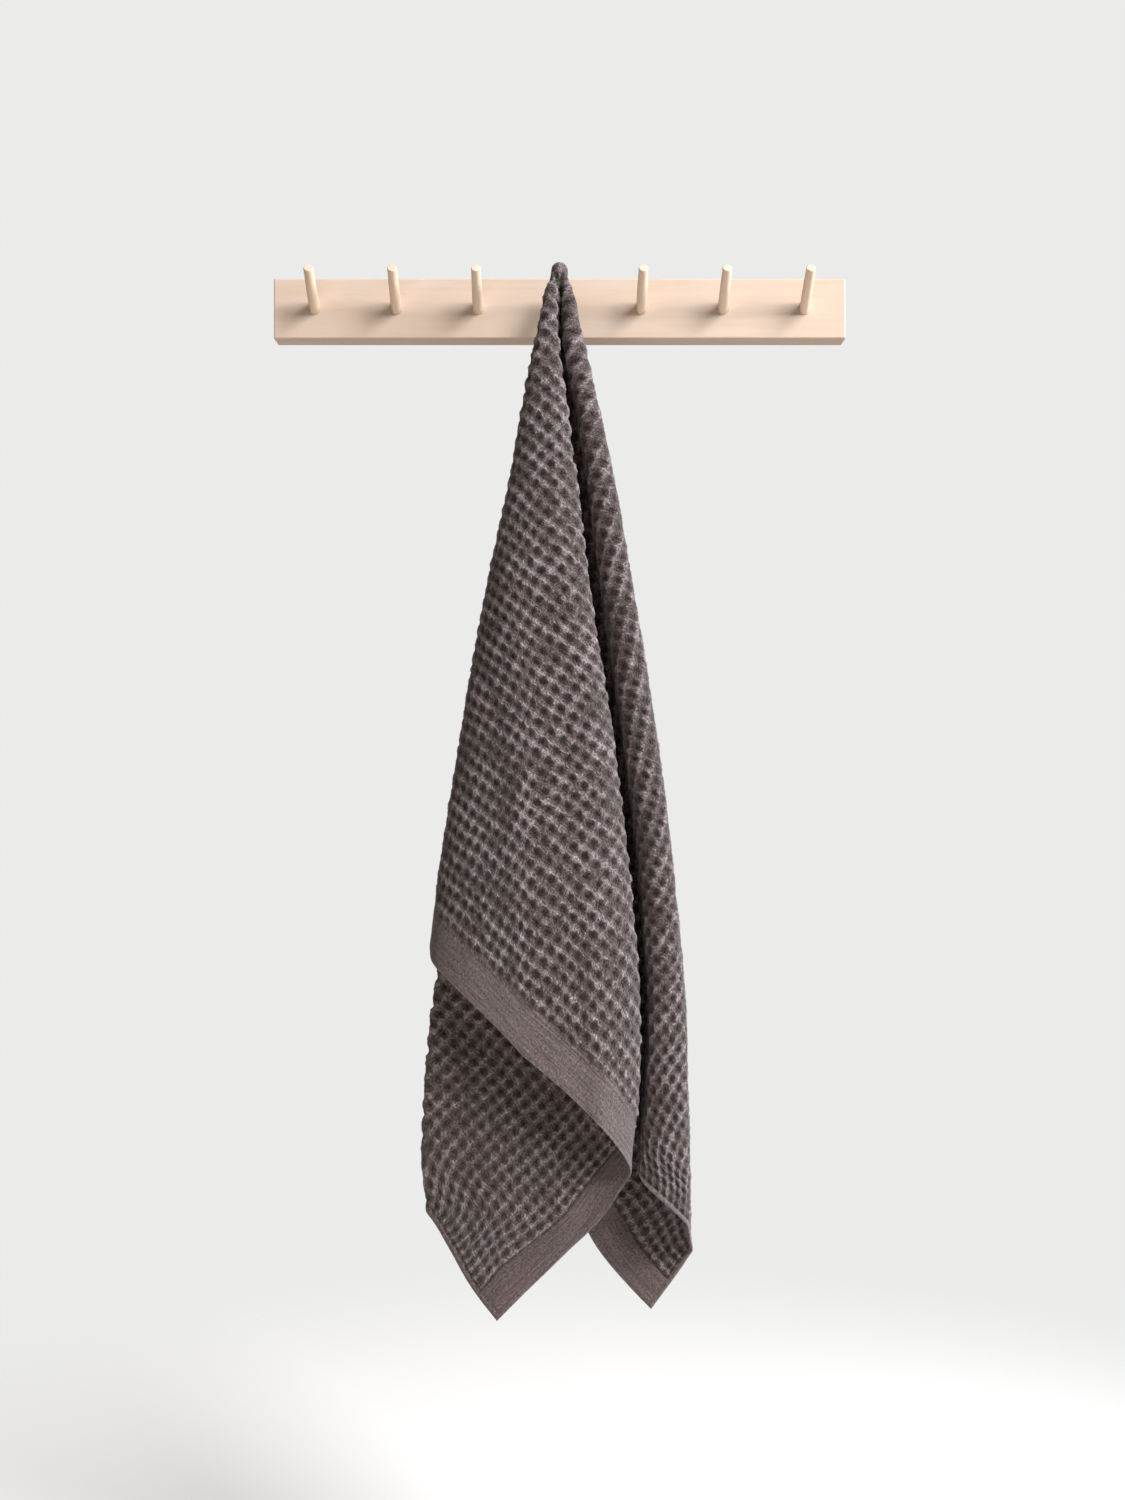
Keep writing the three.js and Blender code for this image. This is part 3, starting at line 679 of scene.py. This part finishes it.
def node_adder(tree):
    """A function that adds a node to the emptied tree, with its settings, values and links."""
    tree.nodes.clear()

    def node(kind, settings=None, **inputs):
        made = tree.nodes.new(kind)
        for key, value in (settings or {}).items():
            setattr(made, key, value)
        for key, value in inputs.items():
            socket = made.inputs[int(key[1:])] if key[0] == "_" else made.inputs[key.replace("_", " ")]
            if isinstance(value, bpy.types.NodeSocket):
                tree.links.new(value, socket)
            else:
                socket.default_value = value
        return made

    return node


def new_material(name):
    """A material, and the function that adds its nodes."""
    material = bpy.data.materials.new(name)
    material.use_nodes = True
    return material, node_adder(material.node_tree)


def colour_ramp(node, value, stops):
    """The value as a colour between stops, each a place and a hex colour."""
    made = node("ShaderNodeValToRGB", Fac=value)
    elements = made.color_ramp.elements
    for k, (place, colour) in enumerate((stops[0], stops[-1])):
        elements[k].position = place
        elements[k].color = linear(colour)
    for place, colour in stops[1:-1]:
        elements.new(place).color = linear(colour)
    return made.outputs["Color"]


def linen_material():
    """Waffle-woven washed linen in mixed grey-brown yarns: matt, flecked, with painted highlights on the
    ridges and painted shade in the pits.
    """
    material, node = new_material("washed_linen")
    uv = node("ShaderNodeUVMap", {"uv_map": "flat_cloth"}).outputs["UV"]
    relief = node("ShaderNodeAttribute", {"attribute_name": "relief"}).outputs["Fac"]
    plain = node("ShaderNodeAttribute", {"attribute_name": "plain"}).outputs["Fac"]

    def noise(scale, detail, rough=0.6):
        place = node("ShaderNodeMapping", Vector=uv, Scale=(*scale, 1.0)).outputs["Vector"]
        made = node("ShaderNodeTexNoise", Vector=place, Scale=1.0, Detail=detail, Roughness=rough)
        return made.outputs["Fac"]

    def maths(operation, *values):
        inputs = {f"_{k}": value for k, value in enumerate(values)}
        return node("ShaderNodeMath", {"operation": operation}, **inputs).outputs[0]

    def spread(value, low, high, to_low, to_high):
        return node(
            "ShaderNodeMapRange", Value=value, From_Min=low, From_Max=high, To_Min=to_low,
            To_Max=to_high).outputs[0]

    # Yarns of mixed shades, 2 mm thick and 7 mm long in sight, the lighter one on top where they cross
    yarn = spread(maths("MAXIMUM", noise(*WARP_YARN), noise(*WEFT_YARN)), *YARN_SHADES)
    # Flecks of 3 mm and finer, where fibres of another shade show
    fleck = spread(noise(*FIBRE_FLECK), *FLECK_SHADES)
    # The bands are woven flat, so long weft streaks show there
    streak = spread(noise(*BAND_STREAK), *STREAK_SHADES)
    # Slow unevenness of the dye, some 60 mm across
    cloudy = spread(noise(*DYE_CLOUD), *CLOUD_SHADES)
    flat_yarn = node("ShaderNodeMix", Factor=plain, A=yarn, B=streak).outputs["Result"]
    shade = maths("MULTIPLY", maths("MULTIPLY", flat_yarn, fleck), cloudy)

    # Pits are painted dark and ridges light along the relief share: painted shade and painted highlights
    ramp = colour_ramp(node, relief, LINEN_AND_PAINTED_SHADE_COLOURS)
    colour = node("ShaderNodeVectorMath", {"operation": "SCALE"}, _0=ramp, Scale=shade)
    bump = node("ShaderNodeBump", Strength=1.0, Distance=0.0016, Height=shade)
    surface = node(
        "ShaderNodeBsdfPrincipled", Base_Color=colour.outputs[0], Roughness=0.92, Normal=bump.outputs[0],
        Specular_IOR_Level=0.2, Sheen_Weight=0.35, Sheen_Roughness=0.5)
    node("ShaderNodeOutputMaterial", Surface=surface.outputs[0])
    return material


def birch_material(name, turn, colours):
    """Sanded birch under a matt clear finish: pale, with fine soft grain along the wood."""
    material, node = new_material(name)
    place = node("ShaderNodeTexCoord").outputs["Object"]
    turned = node("ShaderNodeMapping", Vector=place, Rotation=turn).outputs["Vector"]

    def grain(scale, detail, distortion):
        stretched = node("ShaderNodeMapping", Vector=turned, Scale=scale).outputs["Vector"]
        made = node("ShaderNodeTexNoise", Vector=stretched, Scale=1.0, Detail=detail, Distortion=distortion)
        return made.outputs["Fac"]

    # Growth bands about 20 mm wide, and fine grain lines about 1 mm wide
    figure = grain((5.0, 55.0, 55.0), 3.0, 1.6)
    lines = grain((22.0, 900.0, 900.0), 2.0, 0.2)
    both = node("ShaderNodeMath", {"operation": "MULTIPLY_ADD"}, _0=lines, _1=0.35, _2=figure).outputs[0]
    ramp = colour_ramp(node, both, tuple(zip(GRAIN_PLACES, colours)))
    bump = node("ShaderNodeBump", Strength=0.25, Distance=0.0002, Height=lines)
    surface = node(
        "ShaderNodeBsdfPrincipled", Base_Color=ramp, Roughness=0.5, Normal=bump.outputs[0],
        Specular_IOR_Level=0.35)
    node("ShaderNodeOutputMaterial", Surface=surface.outputs[0])
    return material


def floor_material():
    """Matt pale floor paint that fades out far from the object."""
    material, node = new_material("floor_paint")
    place = node("ShaderNodeTexCoord").outputs["Object"]
    away = node("ShaderNodeVectorMath", {"operation": "LENGTH"}, _0=place).outputs["Value"]
    fade = node(
        "ShaderNodeMapRange", {"interpolation_type": "SMOOTHSTEP"}, Value=away, From_Min=FLOOR_FADE[0],
        From_Max=FLOOR_FADE[1])
    paint = node("ShaderNodeBsdfDiffuse", Color=linear(FLOOR_COLOUR)).outputs[0]
    clear = node("ShaderNodeBsdfTransparent").outputs[0]
    both = node("ShaderNodeMixShader", _0=fade.outputs[0], _1=paint, _2=clear)
    node("ShaderNodeOutputMaterial", Surface=both.outputs[0])
    return material


# Wooden parts

def turned_peg(number, material):
    """A turned peg with a softened tip, seated in the rail."""
    peg = bmesh.new()
    profile = [(0, -PEG_SEAT_DEPTH), (PEG_SEAT_RADIUS, -PEG_SEAT_DEPTH), (PEG_SEAT_RADIUS, PEG_SEAT_END)]
    for k in range(PEG_TIP_STEPS + 1):
        a = k / PEG_TIP_STEPS * math.pi / 2
        radius = PEG_TIP_RADIUS - PEG_TIP_ROUND * (1 - math.cos(a))
        profile.append((radius, PEG_REACH - PEG_TIP_ROUND * (1 - math.sin(a))))
    profile.append((0, PEG_REACH))
    verts = [peg.verts.new((radius * MM, along * MM, 0)) for radius, along in profile]
    edges = [peg.edges.new(pair) for pair in zip(verts[:-1], verts[1:])]
    bmesh.ops.spin(
        peg, geom=verts + edges, cent=(0, 0, 0), axis=(0, 1, 0), dvec=(0, 0, 0), angle=2 * math.pi,
        steps=PEG_SIDES, use_merge=True, use_duplicate=False)
    bmesh.ops.remove_doubles(peg, verts=peg.verts[:], dist=WELD * MM)
    bmesh.ops.recalc_face_normals(peg, faces=peg.faces[:])
    x = (number - (PEG_COUNT + 1) / 2) * PEG_PITCH
    seat = Matrix.Translation((x * MM, -RAIL_THICKNESS * MM, 0))
    lean = Matrix.Rotation(math.radians(180 - PEG_TILT), 4, "X")
    bmesh.ops.transform(peg, matrix=seat @ lean, verts=peg.verts[:])
    for face in peg.faces:
        face.smooth = len(face.verts) == 4
    mesh = finished_mesh(peg, f"turned_peg_{number}")
    mesh.materials.append(material)
    made = add_object(f"turned_peg_{number}", mesh)
    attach(made, "root")
    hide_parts(f"peg_{number}")


def dress(node_name, material):
    """A CAD node takes a finish in its own material slots."""
    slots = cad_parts[node_name].data.materials
    for k in range(len(slots)):
        slots[k] = material
    if not slots:
        slots.append(material)


# Stage

def area_light(name, place, target, size, power, colour):
    """A square light that the camera doesn't see."""
    light = bpy.data.lights.new(name, "AREA")
    light.shape = "SQUARE"
    light.size = size
    light.energy = power
    light.color = colour
    made = add_object(name, light)
    made.visible_camera = False
    made.location = place
    made.rotation_euler = (Vector(target) - Vector(place)).to_track_quat("-Z", "Y").to_euler()


def pale_world():
    """Even pale surroundings to look at, and a weaker, warmer light from them."""
    world = bpy.data.worlds.new("studio")
    world.use_nodes = True
    node = node_adder(world.node_tree)
    light = node("ShaderNodeBackground", Color=linear(WORLD_COLOUR), Strength=WORLD_STRENGTH)
    seen = node("ShaderNodeBackground", Color=linear(SEEN_COLOUR))
    path = node("ShaderNodeLightPath").outputs["Is Camera Ray"]
    both = node("ShaderNodeMixShader", _0=path, _1=light.outputs[0], _2=seen.outputs[0])
    node("ShaderNodeOutputWorld", Surface=both.outputs[0])
    bpy.context.scene.world = world
    bpy.context.scene.view_settings.view_transform = "Standard"


def floor():
    """A round patch of floor under the towel, as stage."""
    disc = bmesh.new()
    bmesh.ops.create_circle(disc, cap_ends=True, segments=FLOOR_SIDES, radius=FLOOR_RADIUS)
    mesh = finished_mesh(disc, "floor")
    mesh.materials.append(floor_material())
    made = add_object("floor", mesh)
    made.location = (0, 0, FLOOR_HEIGHT)


def camera():
    """The camera that the photograph's framing gives."""
    data = bpy.data.cameras.new("camera")
    data.sensor_width = SENSOR
    data.lens = FOCAL_PIXELS * SENSOR / PICTURE_HEIGHT
    made = add_object("camera", data)
    made.location = Vector(CAMERA_PLACE) * MM
    made.rotation_euler = (math.pi / 2, 0, 0)
    bpy.context.scene.camera = made


camera()
floor()
pale_world()
for light in LIGHTS:
    area_light(*light)

dress("rail", birch_material("sanded_birch_board", (0, 0, 0), BOARD_COLOURS))
peg_turn = (math.radians(PEG_TILT - 180), 0, math.pi / 2)
peg_birch = birch_material("sanded_birch_turned", peg_turn, PEG_COLOURS)
for number in range(1, PEG_COUNT + 1):
    turned_peg(number, peg_birch)

linen = linen_material()
cloth_faces = [face_of_cloth(True), face_of_cloth(False)]
cloth_points = [face_points(cloth_faces[0], 1), face_points(cloth_faces[1], -1)]
panel_steps = STEPS_LONG // PANELS
for k in range(PANELS):
    panel = towel_panel(
        f"towel_length_{k + 1}", k * panel_steps, (k + 1) * panel_steps, cloth_faces, cloth_points, linen)
